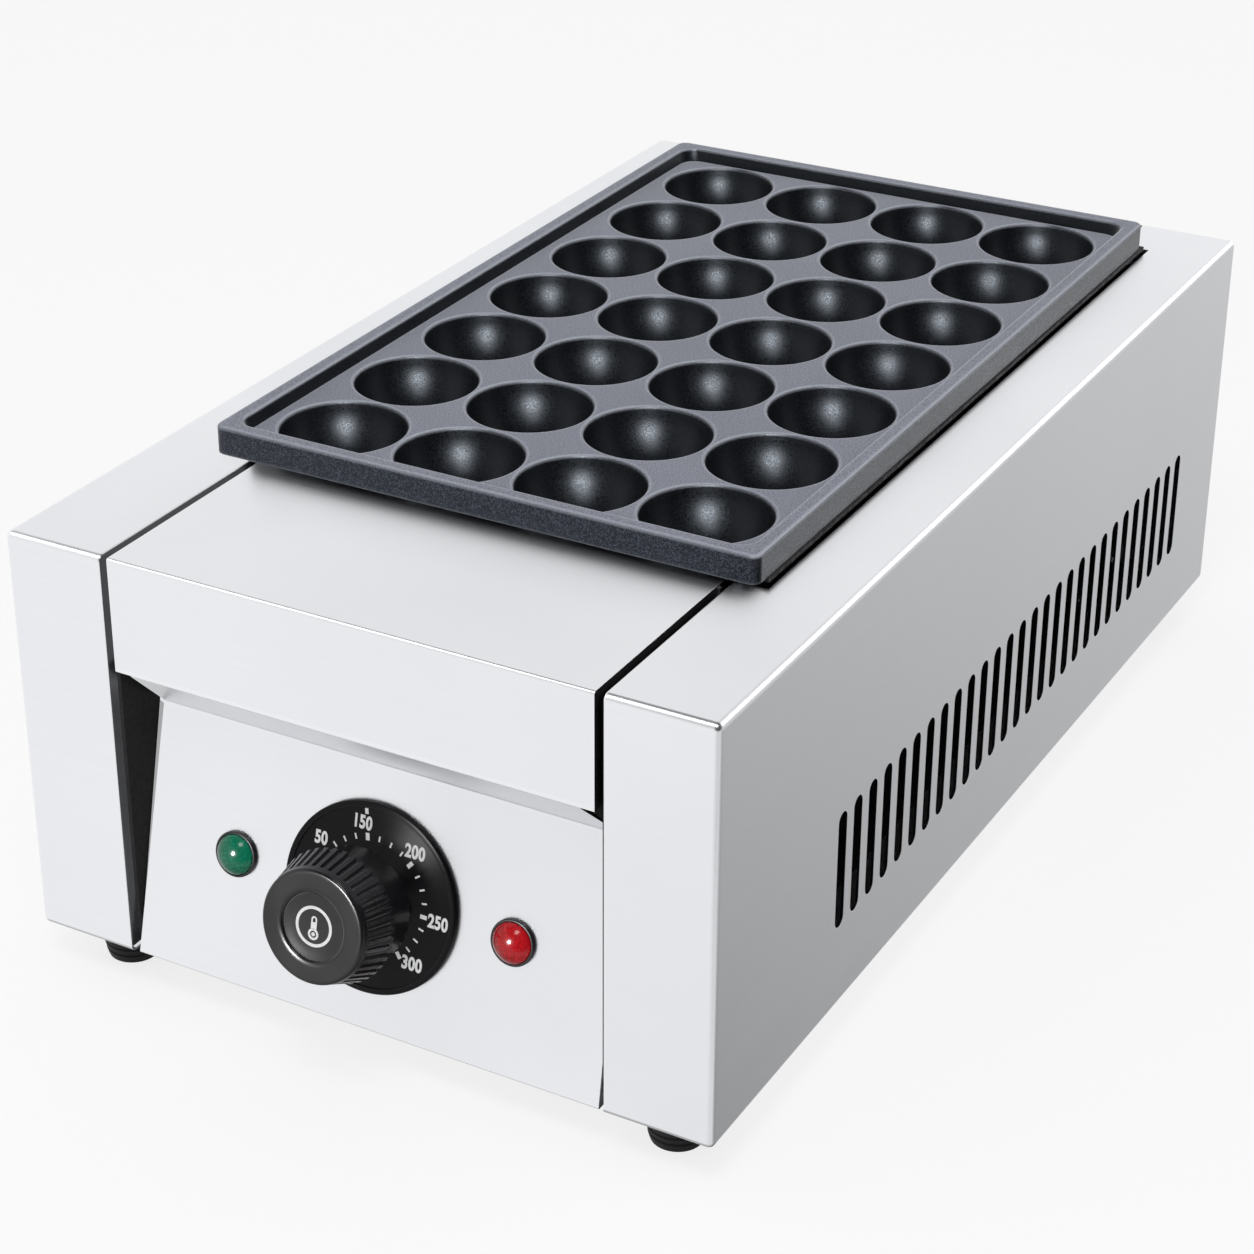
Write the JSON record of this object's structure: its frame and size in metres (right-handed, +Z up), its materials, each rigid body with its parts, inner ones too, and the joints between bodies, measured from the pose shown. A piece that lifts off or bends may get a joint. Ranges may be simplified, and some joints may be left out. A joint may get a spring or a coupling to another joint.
{
  "type": "takoyaki maker",
  "caption": "Electric countertop takoyaki maker: cast plate of hemispherical cups on a folded stainless case with thermostat knob and pilot lamps.",
  "frame": {"origin": "middle of the footprint, on the plane that the feet stand on", "axes": "+Z up, -Y towards the cook and the control panel, +X to the right as the cook sees it"},
  "size_m": [0.23, 0.4406, 0.1585],
  "materials": {
    "stainless": "satin, fine brushed",
    "plated_steel": "plated, satin",
    "dark_steel": "matt dark paint",
    "reflector_steel": "bright sheet",
    "mineral_wool": "felted board",
    "tube_steel": "heat darkened",
    "brass": "turned",
    "copper": "drawn tube",
    "cream_plastic": "moulded",
    "wire_sleeve": "woven sleeve",
    "black_plastic": "moulded, satin",
    "dial_black": "moulded, satin",
    "knob_black": "moulded, satin",
    "black_rubber": "moulded, matt",
    "green_lens": "pebbled, clear gloss",
    "red_lens": "pebbled, clear gloss",
    "non_stick_casting": "non-stick coating, fine speckle"
  },
  "bodies": {
    "chassis": {"base_pan": "plated_steel", "left_casing": "stainless", "right_casing": "stainless", "centre_cover": "stainless", "rear_cover": "stainless", "left_frame_plate": "dark_steel", "right_frame_plate": "dark_steel", "front_bulkhead": "plated_steel", "rear_bulkhead": "plated_steel", "insulation_tray": "plated_steel", "insulation_board": "mineral_wool", "reflector": "reflector_steel", "element_brackets": "plated_steel", "heating_element": "tube_steel", "element_fittings": "brass", "element_terminals": "brass", "control_panel": "stainless", "dial_plate": "dial_black", "dial_bezel": "dial_black", "thermostat_body": "cream_plastic", "thermostat_screws": "plated_steel", "capillary_tube": "copper", "thermostat_bulb": "copper", "bulb_clips": "plated_steel", "bulkhead_grommet": "black_rubber", "green_lamp_body": "black_plastic", "red_lamp_body": "black_plastic", "green_lens": "green_lens", "red_lens": "red_lens", "lamp_nuts": "black_plastic", "lamp_tabs": "brass", "terminal_block": "cream_plastic", "terminal_screws": "brass", "wiring": "wire_sleeve", "earth_stud": "brass", "gland_body": "black_plastic", "gland_cap": "black_plastic", "gland_locknut": "black_plastic", "front_left_foot": "black_rubber", "front_right_foot": "black_rubber", "rear_left_foot": "black_rubber", "rear_right_foot": "black_rubber", "foot_screws": "plated_steel", "foot_nuts": "plated_steel", "frame_screws": "plated_steel", "cover_screws": "plated_steel", "rear_cover_screws": "plated_steel", "panel_screws": "plated_steel", "tray_screws": "plated_steel"},
    "mould_plate": {"mould_plate": "non_stick_casting"},
    "control_knob": {"knob": "knob_black", "knob_cap": "knob_black", "spindle": "plated_steel"}
  },
  "joints": [
    {"name": "plate_lift", "type": "slide", "parent": "chassis", "child": "mould_plate", "axis": [0, 0, 1], "range_m": [0, 0.06]},
    {"name": "knob_turn", "type": "hinge", "parent": "chassis", "child": "control_knob", "pos_m": [0, -0.18789, 0.05398], "axis": [0, 0.975, -0.2222], "range_deg": [0, 250]}
  ]
}
